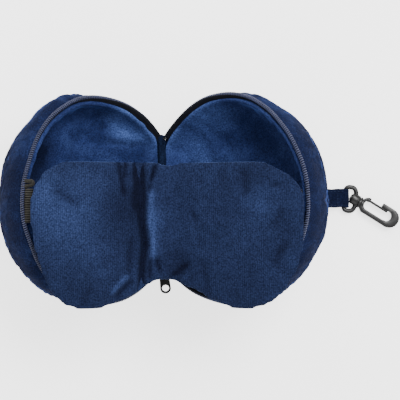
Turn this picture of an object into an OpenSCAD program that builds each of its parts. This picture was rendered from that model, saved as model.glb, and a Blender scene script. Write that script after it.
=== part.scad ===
// U shaped neck pillow: two padded half balls that open like a book, joined
// along a spine and zipped round the rim, with a padded eye mask laid across
// them and a swivel snap hook on a hang loop.
// Frame: X across the two halves, Y along the spine, Z up, lowest point at 0.

/* [Pillow] */
// Diameter of the closed ball over its covers, mm
ball_diameter = 160; // [150:1:170]
// Length of the spine that joins the two halves, mm
spine_length = 100; // [90:1:106]
// Angle of each rim above level when the pillow lies open, degrees
rim_tilt = 43; // [41:1:45]
// How far each dome is pressed flat where it rests, mm
rest_flat = 3; // [2:0.5:4]
// Depth of the hollow inside each half, mm
bowl_depth = 33; // [28:1:36]

/* [Fabric] */
// Thickness of the padded outer cover, mm
cover_thickness = 2; // [1.5:0.5:2.5]
// Thickness of the velour lining, mm
lining_thickness = 1.5; // [1:0.5:2]
// Radius of the bound seam along the spine, mm
spine_radius = 3.8; // [3.4:0.1:4]

/* [Zipper] */
// Radius of one row of coil teeth, mm
coil_radius = 1.2; // [1:0.1:1.3]
// Length of the slider body, mm
slider_length = 11; // [9:0.5:12]
// Width of the pull tab at its round end, mm
pull_width = 8.2; // [7:0.1:9]
// Radius of the hole in the pull tab, mm
pull_hole_radius = 3; // [2.5:0.1:3.2]

/* [Eye mask] */
// Thickness of the mask in the middle of each half, mm
mask_thickness = 8.4; // [7.4:0.2:9]
// Upward slope of each mask half at rest, degrees
mask_tilt = 22; // [21:1:24]
// Height of the mask's fold lines above the spine at rest, mm
mask_height = 66; // [65:1:70]
// Width of the elastic strap, mm
strap_width = 25; // [20:1:28]

/* [Hang loop and hook] */
// Width of the hang loop, mm
loop_width = 15.4; // [13:0.2:15.6]
// Radius of the ring's round bar, mm
ring_bar_radius = 1.5; // [1.3:0.1:1.5]
// Thickness of the hook's flat body, mm
hook_thickness = 4.6; // [4:0.2:6]
// Radius of the swivel post, mm
post_radius = 1.65; // [1.4:0.05:1.7]

/* [Hidden] */
$fn = 64;
ball_radius = ball_diameter / 2;
rim_centre = sqrt(pow(ball_radius, 2) - pow(spine_length / 2, 2));
spine_height = ball_radius - rim_centre * sin(rim_tilt) - rest_flat;
shift_x = -34.3;
big = 260;
gap = 0.3;

cover_edge = 3.7;
recess_radius = spine_radius + 0.4;
recess_length = spine_length + 2;
slider_ring = ball_radius + 1;
slider_angle = 44.7;
slider_u = rim_centre - slider_ring * cos(slider_angle);
slider_y = slider_ring * sin(slider_angle);
pocket_radius = 8.5;
pocket_depth = 5.2;
coil_ring = ball_radius + 0.8;
coil_depth = coil_radius + 0.25;

bail_lift = 4.2;
bail_ring = slider_ring + bail_lift;
bail_y = -bail_ring * sin(slider_angle);
bail_z = spine_height + rim_centre - bail_ring * cos(slider_angle);
pull_droop = 10;
pull_hole_at = 11.2;

mask_root = 8;
mask_centre_y = -24.7;
mask_shift = 2.7;
mask_z = spine_height + mask_height;
mask_half_thick = mask_thickness / 2;

loop_y = 1.4;
bar_x = 149;
bar_y = 1.4;
bar_z = 3.6;
ring_turn = -7;
ring_half = 10.3;
ring_depth = 9.8;
ring_corner = 2.3;
hook_turn = -32;
boss_at = ring_depth;
boss_radius = 3.5;
gate_root = [9.6, 5.4];

cover_colour = [0.10, 0.16, 0.32];
lining_colour = [0.17, 0.27, 0.46];
padding_colour = [0.85, 0.85, 0.82];
black = [0.05, 0.06, 0.08];
coil_colour = [0.16, 0.19, 0.28];
hook_colour = [0.22, 0.22, 0.22];

// Everything is placed from the middle of the spine at table height.
module on_table() {
  translate([shift_x, 0, 0]) children();
}

// side is 1 for the right half and -1 for the left one.
module on_side(side) {
  mirror([side < 0 ? 1 : 0, 0, 0]) children();
}

// Rim frame: X away from the spine in the rim plane, -Z into the dome.
module rim_frame() {
  translate([0, 0, spine_height]) rotate([0, -rim_tilt, 0]) children();
}

module below_rim(depth) {
  translate([-big, -big, -depth - big]) cube([2 * big, 2 * big, big]);
}

// Solid half ball, cut off at the rim, at the other half and at the table.
module dome(radius, depth, wall, base) {
  intersection() {
    rim_frame() intersection() {
      translate([rim_centre, 0, 0]) sphere(r = radius, $fn = 96);
      below_rim(depth);
    }
    translate([gap + wall, -big / 2, base]) cube([big, big, big]);
  }
}

module spine_recess() {
  translate([0, recess_length / 2, spine_height]) rotate([90, 0, 0])
    cylinder(r = recess_radius, h = recess_length);
}

// Room for the slider at both ends of the spine.
module slider_pockets() {
  rim_frame() for (end = [-1, 1])
    translate([slider_u, end * slider_y, -pocket_depth])
      cylinder(r = pocket_radius, h = pocket_depth + 4);
}

module outer_cover(side) {
  on_side(side) difference() {
    dome(ball_radius, cover_edge, 0, 0);
    dome(ball_radius - cover_thickness, 0, cover_thickness, cover_thickness);
    spine_recess();
    slider_pockets();
  }
}

// Hollow of one half, grown by wall for the outside of its lining.
module bowl(wall) {
  intersection() {
    translate([rim_centre, 0, 0]) rotate([180, 0, 0]) rotate_extrude($fn = 96)
      polygon([
        [0, 0], [74.9 + wall * 0.9, 0], [74.9 + wall * 0.9, 4.6],
        [74.3 + wall, 7.5], [72.6 + wall, 11.5], [69 + wall, 16.5],
        [63.5 + wall * 0.9, 21.5 + wall * 0.4], [55 + wall * 0.7, 26 + wall * 0.7],
        [43 + wall * 0.5, bowl_depth - 3 + wall * 0.9],
        [22, bowl_depth - 0.6 + wall], [0, bowl_depth + wall]
      ]);
    rotate([0, atan(0.3), 0]) translate([3.1 - wall, -big / 2, -big / 2])
      cube([big, big, big]);
  }
}

module lining(side) {
  on_side(side) difference() {
    rim_frame() intersection() {
      bowl(lining_thickness);
      below_rim(4.6);
    }
    rim_frame() bowl(0);
    spine_recess();
    slider_pockets();
  }
}

module filling(side) {
  wall = cover_thickness + 0.2;
  on_side(side) difference() {
    dome(ball_radius - wall, 4.6, wall, wall);
    rim_frame() bowl(lining_thickness + 0.2);
    rim_frame() translate([rim_centre, 0, -10.2]) difference() {
      cylinder(r = ball_radius + 10, h = 12);
      translate([0, 0, -1]) cylinder(r = 75.7, h = 14);
    }
    spine_recess();
    slider_pockets();
  }
}

module spine_gap() {
  translate([-40, -spine_length / 2 - 4, -30]) cube([45, spine_length + 8, 60]);
}

module zip_tape(side) {
  on_side(side) difference() {
    rim_frame() difference() {
      translate([rim_centre, 0, 0]) rotate([180, 0, 0]) rotate_extrude($fn = 96)
        polygon([
          [78.2, 0.6], [79.5, 0.6], [79.5, 3], [77.6, 3.5],
          [77.5, 5], [77, 10], [76, 10], [76.7, 4.4], [78.2, 2.2]
        ]);
      spine_gap();
    }
    slider_pockets();
  }
}

module zip_coil(side) {
  on_side(side) difference() {
    rim_frame() difference() {
      translate([rim_centre, 0, -coil_depth]) rotate_extrude($fn = 96)
        translate([coil_ring, 0]) circle(r = coil_radius, $fn = 24);
      spine_gap();
    }
    slider_pockets();
  }
}

module right_outer_cover() {
  color(cover_colour) on_table() outer_cover(1);
}

module right_filling() {
  color(padding_colour) on_table() filling(1);
}

module right_lining() {
  color(lining_colour) on_table() lining(1);
}

module right_zip_tape() {
  color(black) on_table() zip_tape(1);
}

module right_zip_coil() {
  color(coil_colour) on_table() zip_coil(1);
}

module left_outer_cover() {
  color(cover_colour) on_table() outer_cover(-1);
}

module left_filling() {
  color(padding_colour) on_table() filling(-1);
}

module left_lining() {
  color(lining_colour) on_table() lining(-1);
}

module left_zip_tape() {
  color(black) on_table() zip_tape(-1);
}

module left_zip_coil() {
  color(coil_colour) on_table() zip_coil(-1);
}

// Flat strap sewn to the right dome, with a pocket for the ring's bar.
module hang_loop() {
  end_x = 149.8;
  color(cover_colour) on_table()
    translate([0, loop_y + loop_width / 2, 0]) rotate([90, 0, 0])
      linear_extrude(height = loop_width) difference() {
        union() {
          polygon([
            [109.8, 32.1], [123.5, 17.4], [131, 10.9], [138.4, 7.1],
            [end_x, 7.1], [end_x, 0.1], [138.4, 0.1], [134.5, 2.4],
            [129, 7.2], [121.4, 14.9], [108.5, 28.8]
          ]);
          translate([end_x, bar_z]) circle(r = 3.5);
        }
        translate([143, bar_z - 1.9]) square([end_x - 143, 3.8]);
        translate([143, bar_z]) circle(r = 1.9);
        translate([end_x, bar_z]) circle(r = 1.9);
      }
}

module spine_binding() {
  length = spine_length - 3.4;
  color(cover_colour) on_table()
    translate([0, length / 2, spine_height]) rotate([90, 0, 0])
      cylinder(r = spine_radius, h = length);
}

module zip_stop(end) {
  on_table() translate([0, end * (spine_length / 2 - 0.7), spine_height])
    cube([4.4, 1.6, 4], center = true);
}

module zip_bottom_stop() {
  color(black) zip_stop(-1);
}

module zip_top_stop() {
  color(black) zip_stop(1);
}

// Slider frame: X across, Y along the rim away from the spine, Z outward.
module slider_frame() {
  on_table()
    translate([0, -slider_y, spine_height + slider_u])
      rotate([180 - slider_angle, 0, 0]) children();
}

module slider_plate(half_width, height) {
  straight = slider_length - 2 * half_width;
  translate([-half_width, -straight / 2, 0])
    cube([2 * half_width, straight, height]);
  for (end = [-1, 1]) translate([0, end * straight / 2, 0])
    cylinder(r = half_width, h = height);
}

module zip_slider() {
  color(black) slider_frame() {
    translate([0, 0, 1.4]) slider_plate(3.9, 1.4);
    translate([0, 0, -4.2]) slider_plate(2.8, 1.3);
    translate([0, 3.9, -3.4]) cylinder(r = 1, h = 5.4);
    difference() {
      translate([-1.1, -2.2, 2.6]) cube([2.2, 4.4, 3.2]);
      translate([-2, 0, bail_lift]) rotate([0, 90, 0])
        cylinder(r = 0.95, h = 4);
    }
  }
}

// Pull frame: origin on the pivot, Y along the tab towards its free end.
module pull_frame() {
  on_table() translate([0, bail_y, bail_z])
    rotate([180 + pull_droop, 0, 0]) children();
}

module zip_pull() {
  color(black) pull_frame() {
    translate([-2.7, 0, 0]) rotate([0, 90, 0]) cylinder(r = 0.85, h = 5.4);
    for (arm = [-2.7, 1.4]) translate([arm, -1.1, -0.9])
      cube([1.3, 5.4, 1.8]);
    difference() {
      union() {
        translate([0, 0, -0.8]) linear_extrude(height = 1.6)
          polygon([
            [-3.7, 3.2], [3.7, 3.2],
            [pull_width / 2, pull_hole_at], [-pull_width / 2, pull_hole_at]
          ]);
        translate([0, pull_hole_at, -0.8])
          cylinder(r = pull_width / 2, h = 1.6);
      }
      translate([0, pull_hole_at, -2])
        cylinder(r = pull_hole_radius, h = 4);
    }
  }
}

// Half of the mask seen square on, drawn in by inset along its free edge.
module mask_outline(inset) {
  hull() {
    translate([73, 30]) circle(r = 24 - inset, $fn = 40);
    translate([62, -24]) circle(r = 30 - inset, $fn = 40);
    translate([42, -30]) circle(r = 24 - inset, $fn = 40);
    translate([0, -33 + inset]) square([2, 83.5 - 2 * inset]);
  }
}

module mask_slice(inset, height, thick) {
  translate([0, 0, height]) linear_extrude(height = thick)
    mask_outline(inset);
}

module mask_half(side) {
  on_table() translate([mask_shift, mask_centre_y, mask_z]) on_side(side)
    translate([mask_root, 0, 0]) rotate([0, -mask_tilt, 0]) children();
}

module mask_skin() {
  difference() {
    hull() {
      mask_slice(0, 0.1, 0.7);
      mask_slice(8, mask_half_thick - 0.1, 0.1);
    }
    hull() {
      mask_slice(1.2, -0.1, 0.2);
      mask_slice(9, mask_half_thick - 1.4, 0.1);
    }
  }
}

module mask_pad() {
  hull() {
    mask_slice(1.6, -0.05, 0.1);
    mask_slice(9.4, 1.5 - mask_half_thick, mask_thickness - 3);
  }
}

module mask_right_front() {
  color(lining_colour) mask_half(1) mask_skin();
}

module mask_right_back() {
  color(cover_colour) mask_half(1) mirror([0, 0, 1]) mask_skin();
}

module mask_right_pad() {
  color(padding_colour) mask_half(1) mask_pad();
}

module mask_left_front() {
  color(lining_colour) mask_half(-1) mask_skin();
}

module mask_left_back() {
  color(cover_colour) mask_half(-1) mirror([0, 0, 1]) mask_skin();
}

module mask_left_pad() {
  color(padding_colour) mask_half(-1) mask_pad();
}

// Soft strip over the nose that the two mask halves fold about.
module mask_bridge() {
  color(lining_colour) on_table()
    translate([mask_shift, mask_centre_y + 50, mask_z]) rotate([90, 0, 0])
      linear_extrude(height = 82) polygon([
        [-7.4, -mask_half_thick], [7.4, -mask_half_thick], [7.4, -0.8],
        [3.2, -0.2], [3.2, mask_half_thick], [-3.2, mask_half_thick],
        [-3.2, -0.2], [-7.4, -0.8]
      ]);
}

// Elastic strap: from under both mask ends, out, and back in a hanging curve.
strap_end = 99.5;
strap_end_z = mask_z + 29;
strap_sag_z = spine_height + 35;
function strap_z(x) = strap_sag_z + (strap_end_z - 4 - strap_sag_z)
  * pow(x / strap_end, 2);

module mask_strap() {
  steps = [for (i = [-20:20]) i * strap_end / 20];
  color(black) on_table()
    translate([0, -4.5 + strap_width / 2, 0]) rotate([90, 0, 0])
      linear_extrude(height = strap_width) {
        polygon(concat(
          [for (x = steps) [x, strap_z(x)]],
          [for (i = [40:-1:0]) [steps[i], strap_z(steps[i]) + 1.5]]
        ));
        for (end = [-1, 1]) {
          translate([end * strap_end, strap_end_z - 2]) difference() {
            circle(r = 2.1);
            circle(r = 0.7);
            translate([end < 0 ? 0 : -4, -4]) square([4, 8]);
          }
          polygon([
            [end * strap_end, strap_end_z - 1.4],
            [end * strap_end, strap_end_z],
            [end * 95, strap_end_z],
            [end * 95, strap_end_z - 1.4]
          ]);
        }
      }
}

// Ring frame: X from the straight bar towards the swivel, Y along the bar.
module ring_frame() {
  on_table() translate([bar_x, bar_y, bar_z]) rotate([0, 0, ring_turn])
    children();
}

// Hook frame: origin in the middle of the swivel, X along the hook.
module hook_frame() {
  ring_frame() translate([boss_at, 0, 0]) rotate([0, 0, hook_turn - ring_turn])
    children();
}

module along_hook(start, length, radius) {
  translate([start, 0, 0]) rotate([0, 90, 0])
    cylinder(r = radius, h = length);
}

// One rounded corner of the ring, from the side of a bar round to its end.
module ring_corner_piece(x, y, start) {
  translate([x, y, 0]) intersection() {
    rotate_extrude() translate([ring_corner, 0])
      circle(r = ring_bar_radius, $fn = 24);
    rotate([0, 0, start]) translate([0, 0, -5]) cube([20, 20, 10]);
  }
}

module bar_between(a, b) {
  d = b - a;
  translate(a) rotate([0, 90, atan2(d[1], d[0])])
    cylinder(r = ring_bar_radius, h = norm(d));
}

module hook_ring() {
  side = ring_half - ring_corner;
  near = ring_corner;
  far = ring_depth - ring_corner;
  color(hook_colour) difference() {
    union() {
      ring_frame() {
        for (x = [0, ring_depth]) bar_between([x, -side, 0], [x, side, 0]);
        for (y = [-ring_half, ring_half])
          bar_between([near, y, 0], [far, y, 0]);
        ring_corner_piece(near, side, 90);
        ring_corner_piece(near, -side, 180);
        ring_corner_piece(far, -side, 270);
        ring_corner_piece(far, side, 0);
      }
      hook_frame() along_hook(-3.2, 6.4, boss_radius);
    }
    hook_frame() along_hook(-6, 12, post_radius + 0.1);
  }
}

module hook_outline() {
  difference() {
    union() {
      polygon([
        [5.4, -3.3], [5.4, 3.3], [7.2, 6.2], [9.2, 7.5], [11, 7.3],
        [10.2, 3], [9, -1], [12, -2.6], [12, -5.8], [9, -5.8]
      ]);
      translate([31.6, 1.9]) circle(r = 7.8);
      translate([9, -5.8]) square([22.6, 4.4]);
      translate([21.8, 6.6]) square([9.8, 3.1]);
    }
    translate([11.5, 1.45]) circle(r = 4.05);
    translate([28.9, 2.2]) circle(r = 4.4);
    translate([11.5, -2.6]) square([17, 9.2]);
    translate([28, 2.2]) square([1.5, 4.4]);
    translate(gate_root) circle(r = 1.45);
  }
}

module hook_body() {
  color(hook_colour) hook_frame() {
    along_hook(-4.5, 1.1, 2.4);
    along_hook(-3.6, 7.2, post_radius);
    along_hook(3.4, 1.4, 3.3);
    along_hook(4.6, 1.2, 2.5);
    translate([0, 0, -hook_thickness / 2])
      linear_extrude(height = hook_thickness) hook_outline();
  }
}

module hook_gate() {
  thick = hook_thickness - 0.8;
  color(hook_colour) hook_frame() translate([0, 0, -thick / 2]) {
    translate([gate_root[0], gate_root[1], 0]) cylinder(r = 1.25, h = thick);
    translate([gate_root[0], gate_root[1] - 0.6, 0])
      cube([17.6, 1.2, thick]);
  }
}

right_outer_cover();
right_filling();
right_lining();
right_zip_tape();
right_zip_coil();
hang_loop();
left_outer_cover();
left_filling();
left_lining();
left_zip_tape();
left_zip_coil();
spine_binding();
zip_bottom_stop();
zip_top_stop();
zip_slider();
zip_pull();
mask_strap();
mask_bridge();
mask_left_front();
mask_left_pad();
mask_left_back();
mask_right_front();
mask_right_pad();
mask_right_back();
hook_ring();
hook_body();
hook_gate();
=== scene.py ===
import math
import bmesh
import bpy
import numpy as np
from mathutils import Matrix, Vector


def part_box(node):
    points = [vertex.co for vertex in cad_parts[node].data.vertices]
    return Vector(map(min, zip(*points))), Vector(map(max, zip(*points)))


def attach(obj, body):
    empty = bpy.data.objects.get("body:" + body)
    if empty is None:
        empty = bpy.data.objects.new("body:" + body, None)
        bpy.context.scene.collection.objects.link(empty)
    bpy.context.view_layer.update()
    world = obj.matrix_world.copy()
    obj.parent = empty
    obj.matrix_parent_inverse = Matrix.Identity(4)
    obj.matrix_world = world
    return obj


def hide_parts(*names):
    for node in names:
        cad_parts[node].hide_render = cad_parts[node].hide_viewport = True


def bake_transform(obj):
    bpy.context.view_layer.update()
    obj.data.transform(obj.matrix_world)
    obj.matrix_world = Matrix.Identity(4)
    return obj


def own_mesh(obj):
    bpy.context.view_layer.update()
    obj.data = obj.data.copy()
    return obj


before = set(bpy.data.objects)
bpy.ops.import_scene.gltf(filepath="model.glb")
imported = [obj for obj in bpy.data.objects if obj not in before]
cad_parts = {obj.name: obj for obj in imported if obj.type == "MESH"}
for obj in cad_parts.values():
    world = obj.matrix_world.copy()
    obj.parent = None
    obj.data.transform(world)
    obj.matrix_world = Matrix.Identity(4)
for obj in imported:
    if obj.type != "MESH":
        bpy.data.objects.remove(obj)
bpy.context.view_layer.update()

# All shapes are worked out in millimetres from the middle of the spine line,
# then moved into the frame in metres.
spine_lo, spine_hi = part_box("spine_binding")
SPINE_X = (spine_lo.x + spine_hi.x) * 500
SPINE_Z = (spine_lo.z + spine_hi.z) * 500
BALL = 80.0
SPINE_HALF = 50.0
RIM_C = math.sqrt(BALL ** 2 - SPINE_HALF ** 2)
TILT = math.radians(43)
CT, ST = math.cos(TILT), math.sin(TILT)
SIDES = (("right", 1.0), ("left", -1.0))


# ---- helpers
def metres(p):
    p = np.asarray(p, float)
    return stacked((p[..., 0] + SPINE_X), p[..., 1], p[..., 2]) / 1000


def rim(side, u, v, w):
    """Point from rim coordinates: u away from the spine, w into the dome."""
    u, v, w = np.broadcast_arrays(u, v, w)
    return stacked(side * (u * CT + w * ST), v, SPINE_Z + u * ST - w * CT)


def waves(p, length, seed, count=14):
    """Smooth random field of about unit size, with one wavelength."""
    rng = np.random.RandomState(seed)
    p = np.asarray(p, float)
    out = np.zeros(p.shape[:-1])
    for _ in range(count):
        k = rng.normal(size=p.shape[-1])
        k *= 2 * math.pi / length / np.linalg.norm(k) * rng.uniform(0.7, 1.4)
        out += np.cos(p @ k + rng.uniform(0, 2 * math.pi))
    return out * math.sqrt(2.0 / count)


def smin(a, b, k):
    h = np.clip(k - np.abs(a - b), 0, None) / k
    return np.minimum(a, b) - h * h * k / 4


def bump(d, width):
    return np.exp(-(d / width) ** 2)


def circle(count):
    """Angles once round."""
    return np.linspace(0, 2 * math.pi, count, endpoint=False)


def stacked(*parts):
    """Coordinates side by side, as the last axis."""
    return np.stack(parts, -1)


def units(vectors):
    return vectors / np.linalg.norm(vectors, axis=1, keepdims=True)


def left_of(flow):
    """Directions turned a quarter turn to the left, in their own plane."""
    return stacked(-flow[:, 1], flow[:, 0])


def run_of(line):
    """Length along a line at each of its points."""
    steps = np.linalg.norm(np.diff(line, axis=0), axis=1)
    return np.concatenate([[0], np.cumsum(steps)])


def linked(name, mesh):
    obj = bpy.data.objects.new(name, mesh)
    bpy.context.scene.collection.objects.link(obj)
    return obj


def shade_smooth(mesh):
    mesh.polygons.foreach_set("use_smooth", [True] * len(mesh.polygons))


def new_mesh(name, verts, faces, material, smooth=True):
    mesh = bpy.data.meshes.new(name)
    mesh.from_pydata([tuple(v) for v in verts], [], faces)
    mesh.validate()
    obj = linked(name, mesh)
    mesh.materials.append(material)
    if smooth:
        shade_smooth(mesh)
    return obj


def grid_faces(rows, cols, wrap_rows=False):
    """Faces between rings of points, each ring joined to its own start."""
    faces = []
    for i in range(rows if wrap_rows else rows - 1):
        for j in range(cols):
            here, above = i * cols, (i + 1) % rows * cols
            after = (j + 1) % cols
            faces.append((here + j, here + after, above + after, above + j))
    return faces


def fanned(grid):
    """Points and faces of rings (n, m, 3), closed by a fan at either end."""
    n, m = grid.shape[:2]
    verts = np.vstack([grid.reshape(-1, 3), grid[0].mean(0), grid[-1].mean(0)])
    faces = grid_faces(n, m)
    faces += [(n * m, (j + 1) % m, j) for j in range(m)]
    base = (n - 1) * m
    faces += [(n * m + 1, base + j, base + (j + 1) % m) for j in range(m)]
    return verts, faces


def sweep(name, sections, material, closed=False):
    """Closed solid from cross sections (n, m, 3), each a ring of points."""
    n, m = sections.shape[:2]
    faces = grid_faces(n, m, closed)
    if not closed:
        faces.append(tuple(range(m))[::-1])
        faces.append(tuple((n - 1) * m + j for j in range(m)))
    obj = new_mesh(name, metres(sections.reshape(-1, 3)), faces, material)
    fix_normals(obj)
    return obj


def fix_normals(obj, angle=50):
    bm = bmesh.new()
    bm.from_mesh(obj.data)
    bmesh.ops.recalc_face_normals(bm, faces=bm.faces)
    bm.to_mesh(obj.data)
    bm.free()
    obj.data.set_sharp_from_angle(angle=math.radians(angle))


def apply_modifiers(obj):
    deps = bpy.context.evaluated_depsgraph_get()
    mesh = bpy.data.meshes.new_from_object(obj.evaluated_get(deps))
    obj.modifiers.clear()
    old = obj.data
    obj.data = mesh
    bpy.data.meshes.remove(old)
    shade_smooth(mesh)


def coords(obj):
    out = np.empty(len(obj.data.vertices) * 3)
    obj.data.vertices.foreach_get("co", out)
    return out.reshape(-1, 3)


def set_coords(obj, p):
    obj.data.vertices.foreach_set("co", np.asarray(p, float).reshape(-1))
    obj.data.update()


CLOTH_FRAMES, CLOTH_STIFFNESS = 20, 15


def settle(obj, pressure, cap, pin, shrink=0.0, bend=0.3):
    """Cloth simulation under air pressure, applied to the mesh.

    No point moves more than cap, in mm."""
    before = coords(obj)
    group = obj.vertex_groups.new(name="pin")
    for i, weight in enumerate(pin):
        if weight > 0.01:
            group.add([i], float(min(weight, 1)), "REPLACE")
    cloth = obj.modifiers.new("cloth", "CLOTH")
    fabric = cloth.settings
    fabric.quality = 6
    fabric.mass = 0.15
    fabric.tension_stiffness = CLOTH_STIFFNESS
    fabric.compression_stiffness = CLOTH_STIFFNESS
    fabric.bending_stiffness = bend
    fabric.use_pressure = True
    fabric.uniform_pressure_force = pressure
    fabric.shrink_min = shrink
    fabric.effector_weights.gravity = 0
    cloth.collision_settings.use_self_collision = False
    fabric.vertex_group_mass = "pin"
    fabric.pin_stiffness = 5
    cloth.point_cache.frame_start = 1
    cloth.point_cache.frame_end = CLOTH_FRAMES
    scene = bpy.context.scene
    for f in range(1, CLOTH_FRAMES + 1):
        scene.frame_set(f)
    apply_modifiers(obj)
    obj.vertex_groups.clear()
    scene.frame_set(1)
    after = coords(obj)
    move = after - before
    size = np.linalg.norm(move, axis=1, keepdims=True)
    limit = cap / 1000
    set_coords(obj, before + move * (limit * np.tanh(size / limit)
                                     / np.maximum(size, 1e-9)))


def piece(obj, body, replaces=()):
    if replaces:
        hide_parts(*replaces)
    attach(obj, body)
    return obj


# ---- materials
# Patches of painted light and painted shade, partly pile nap, are (x, y, z,
# reach, amount), in mm from the middle of the spine line.
def srgb(r, g, b):
    out = []
    for c in (r, g, b):
        c = c / 255
        out.append(c / 12.92 if c < 0.04045 else ((c + 0.055) / 1.055) ** 2.4)
    return (*out, 1.0)


class Shade:
    """Small helper round a material's node tree."""

    def __init__(self, name):
        self.mat = bpy.data.materials.new(name)
        self.mat.use_nodes = True
        self.nt = self.mat.node_tree
        self.bsdf = self.nt.nodes["Principled BSDF"]
        self.coord = self.nt.nodes.new("ShaderNodeTexCoord").outputs["Object"]

    def node(self, kind, **values):
        n = self.nt.nodes.new("ShaderNode" + kind)
        for key, value in values.items():
            if hasattr(n, key):
                setattr(n, key, value)
            else:
                n.inputs[key].default_value = value
        return n

    def link(self, a, b):
        self.nt.links.new(a, b)

    def stretch(self, x, y, z, turn=(0, 0, 0)):
        m = self.node("Mapping", Scale=(x, y, z), Rotation=turn)
        self.link(self.coord, m.inputs["Vector"])
        return m.outputs["Vector"]

    def noise(self, scale, detail=3.0, rough=0.55, vector=None):
        n = self.node("TexNoise", Scale=scale, Detail=detail, Roughness=rough)
        self.link(vector or self.coord, n.inputs["Vector"])
        return n.outputs["Fac"]

    def bands(self, pitch_mm, axis="X", distort=0.0):
        n = self.node("TexWave", wave_type="BANDS", bands_direction=axis,
                      Scale=2 * math.pi / 20 / (pitch_mm / 1000),
                      Distortion=distort, Detail=2.0, **{"Detail Scale": 0.6})
        self.link(self.coord, n.inputs["Vector"])
        return n.outputs["Fac"]

    def ramp(self, fac, stops):
        n = self.node("ValToRGB")
        for k, (pos, col) in ((0, stops[0]), (1, stops[-1])):
            n.color_ramp.elements[k].position = pos
            n.color_ramp.elements[k].color = col
        for pos, col in stops[1:-1]:
            n.color_ramp.elements.new(pos).color = col
        self.link(fac, n.inputs["Fac"])
        return n.outputs["Color"]

    def math(self, op, a, b=None):
        n = self.node("Math", operation=op)
        for socket, value in zip(n.inputs, (a, b)):
            if value is None:
                continue
            if isinstance(value, (int, float)):
                socket.default_value = value
            else:
                self.link(value, socket)
        return n.outputs[0]

    def mix(self, fac, a, b, kind="MIX"):
        n = self.node("Mix", data_type="RGBA", blend_type=kind)
        for socket, value in zip((n.inputs[0], n.inputs[6], n.inputs[7]), (fac, a, b)):
            if isinstance(value, (int, float, tuple)):
                socket.default_value = value
            else:
                self.link(value, socket)
        return n.outputs[2]

    def bump(self, height, distance_mm, strength=1.0, normal=None):
        n = self.node("Bump", Strength=strength, Distance=distance_mm / 1000)
        self.link(height, n.inputs["Height"])
        if normal:
            self.link(normal, n.inputs["Normal"])
        return n.outputs["Normal"]

    def finish(self, colour, rough, normal=None, sheen=0.0, sheen_tint=None,
               sheen_rough=0.4, specular=0.3):
        b = self.bsdf
        for name, value in (("Base Color", colour), ("Roughness", rough)):
            if isinstance(value, (int, float, tuple)):
                b.inputs[name].default_value = value
            else:
                self.link(value, b.inputs[name])
        if normal:
            self.link(normal, b.inputs["Normal"])
        b.inputs["Sheen Weight"].default_value = sheen
        b.inputs["Sheen Roughness"].default_value = sheen_rough
        if sheen_tint:
            b.inputs["Sheen Tint"].default_value = sheen_tint
        b.inputs["Specular IOR Level"].default_value = specular
        return self.mat


def painted_light_and_nap_spots(s, fac, painted_light_and_nap_places):
    """Raise or lower a factor in soft round patches: painted light and painted shade,
    partly where the pile is brushed.
    """
    for x, y, z, reach, amount in painted_light_and_nap_places:
        d = s.node("VectorMath", operation="DISTANCE")
        s.link(s.coord, d.inputs[0])
        d.inputs[1].default_value = tuple(metres([x, y, z]))
        m = s.node("MapRange", interpolation_type="SMOOTHSTEP", **{
            "From Min": reach / 1000, "From Max": 0.0,
            "To Min": 0.0, "To Max": amount})
        s.link(d.outputs["Value"], m.inputs["Value"])
        fac = s.math("ADD", fac, m.outputs["Result"])
    return fac


def velour(name, dark, mid, light, sheen, tint, wales=None, wale_mix=0.3,
           painted_light_and_nap_places=(), cloud=0.5, rim_sheen_start=0.72, folds=0.0):
    """Short pile velour: places where the pile leans, loops, fine wales,
    painted light and painted shade in patches, partly pile nap, and a painted
    sheen at edges seen side on.

    The last argument is how far the mesh's own fold values paint shade into
    the creases and light onto the ridges."""
    s = Shade(name)
    lean = s.math("SUBTRACT", s.noise(34, 3.0, 0.6), 0.5)
    patch = s.math("SUBTRACT", s.noise(150, 3.0, 0.6), 0.5)
    fibre = s.noise(1500, 2.0, 0.7)
    fuzz = s.noise(840, 1.5, 0.6)
    fac = s.math("ADD", s.math("MULTIPLY", lean, cloud),
                 s.math("MULTIPLY", patch, 0.4 * cloud))
    # painted light and painted shade in soft patches, partly pile nap
    fac = painted_light_and_nap_spots(s, s.math("ADD", fac, 0.5), painted_light_and_nap_places)
    # painted shade in the mask's creases and painted light on its ridges
    if folds:
        crease_shading = s.node("Attribute", attribute_name="fold").outputs["Fac"]
        fac = s.math("SUBTRACT", fac, s.math("MULTIPLY", crease_shading, folds))
    colour = s.ramp(fac, [(0.26, dark), (0.5, mid), (0.74, light)])
    grain = s.ramp(fuzz, [(0.3, (0.36, 0.38, 0.42, 1)), (0.7, (1.64, 1.6, 1.54, 1))])
    colour = s.mix(0.85, colour, grain, "MULTIPLY")
    normal = s.bump(fibre, 0.25, 0.5)
    normal = s.bump(fuzz, 0.5, 0.6, normal)
    normal = s.bump(patch, 1.5, 0.25, normal)
    if wales:
        pitch, axis = wales
        lines = s.bands(pitch, axis, 1.2)
        shade = s.ramp(lines, [(0.1, (0.6, 0.62, 0.66, 1)),
                               (0.9, (1.3, 1.28, 1.24, 1))])
        colour = s.mix(wale_mix, colour, shade, "MULTIPLY")
        normal = s.bump(lines, 0.2, 0.4, normal)
    # painted sheen: seen edge on, the colour turns to the tint of the lit pile tips
    edge = s.node("LayerWeight", Blend=0.5).outputs["Facing"]
    painted_rim_sheen = s.ramp(edge, [(rim_sheen_start, (0, 0, 0, 1)), (0.98, (0.75, 0.75, 0.75, 1))])
    colour = s.mix(painted_rim_sheen, colour, srgb(*tint))
    return s.finish(colour, 0.95, normal, sheen, srgb(*tint), 0.28, 0.08)


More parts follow.
